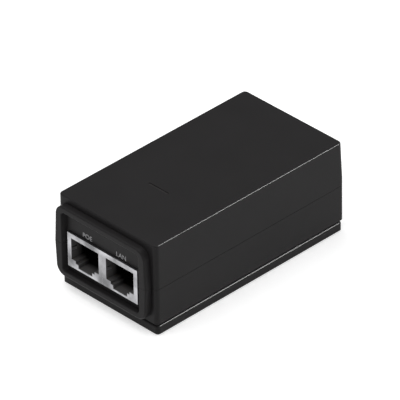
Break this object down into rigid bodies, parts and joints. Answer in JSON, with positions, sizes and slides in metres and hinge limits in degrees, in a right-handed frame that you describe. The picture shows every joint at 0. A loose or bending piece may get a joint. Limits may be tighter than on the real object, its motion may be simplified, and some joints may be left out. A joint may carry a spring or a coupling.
{
  "type": "poe injector",
  "caption": "Two-shell power-over-ethernet injector with shielded network sockets in a raised frame, a mains inlet and a slide-off wall bracket.",
  "frame": {"origin": "midway between the bracket's two wall-screw holes, on the face that lies against the wall or table", "axes": "+Z from that face up through the case, -Y towards the network sockets, +Y towards the mains inlet"},
  "size_m": [0.0446, 0.0875, 0.0345],
  "materials": {
    "case_plastic": "fine moulded grain, charcoal black",
    "bracket_plastic": "fine moulded grain, charcoal black",
    "socket_metal": "nickel-plated folded sheet",
    "socket_plastic": "moulded black",
    "contact_gold": "gold-plated wire",
    "screw_steel": "zinc-plated",
    "board": "green solder mask",
    "sheet_film": "translucent polyester film",
    "inlet_plastic": "moulded black",
    "pin_metal": "nickel-plated brass",
    "fuse_plastic": "moulded black",
    "disc_blue": "dipped epoxy, blue",
    "film_yellow": "potted box, yellow",
    "ferrite": "sintered ferrite",
    "winding": "enamelled copper",
    "tape": "winding tape, yellow",
    "former_plastic": "moulded phenolic",
    "epoxy_black": "moulded epoxy",
    "can_sleeve": "shrink sleeve, dark blue",
    "sink_metal": "bare sheet",
    "chip_ceramic": "ceramic",
    "led_lens": "clear resin",
    "guide_lens": "smoked clear plastic"
  },
  "bodies": {
    "case": {"upper_shell": "case_plastic", "lower_shell": "case_plastic", "case_screws": "screw_steel", "poe_jack_shield": "socket_metal", "lan_jack_shield": "socket_metal", "poe_jack_insert": "socket_plastic", "lan_jack_insert": "socket_plastic", "circuit_board": "board", "insulation_sheet": "sheet_film", "inlet_housing": "inlet_plastic", "inlet_pins": "pin_metal", "fuse": "fuse_plastic", "surge_disc": "disc_blue", "x_capacitor": "film_yellow", "bridge_rectifier": "epoxy_black", "bulk_capacitor": "can_sleeve", "choke_base": "former_plastic", "choke_core": "ferrite", "choke_windings": "winding", "heat_sink": "sink_metal", "switching_transistor": "epoxy_black", "heat_sink_screw": "screw_steel", "transformer_core": "ferrite", "transformer_bobbin": "former_plastic", "transformer_winding": "tape", "y_capacitor": "disc_blue", "optocoupler": "epoxy_black", "output_capacitors": "can_sleeve", "output_choke": "ferrite", "output_diode": "epoxy_black", "data_transformers": "epoxy_black", "controller_chip": "epoxy_black", "chip_parts": "chip_ceramic", "status_led": "led_lens", "light_guide": "guide_lens"},
    "bracket": {"mounting_bracket": "bracket_plastic"},
    "poe_wires": {"poe_contacts": "contact_gold"},
    "lan_wires": {"lan_contacts": "contact_gold"}
  },
  "joints": [
    {"name": "bracket_slide", "type": "slide", "parent": "case", "child": "bracket", "axis": [0, -1, 0], "range_m": [0, 0.008]},
    {"name": "poe_contacts_flex", "type": "hinge", "parent": "case", "child": "poe_wires", "pos_m": [-0.009, -0.04135, 0.02033], "axis": [1, 0, 0], "range_deg": [0, 8], "stiffness_Nm_per_rad": 0.3},
    {"name": "lan_contacts_flex", "type": "hinge", "parent": "case", "child": "lan_wires", "pos_m": [0.007, -0.04135, 0.02033], "axis": [1, 0, 0], "range_deg": [0, 8], "stiffness_Nm_per_rad": 0.3}
  ]
}
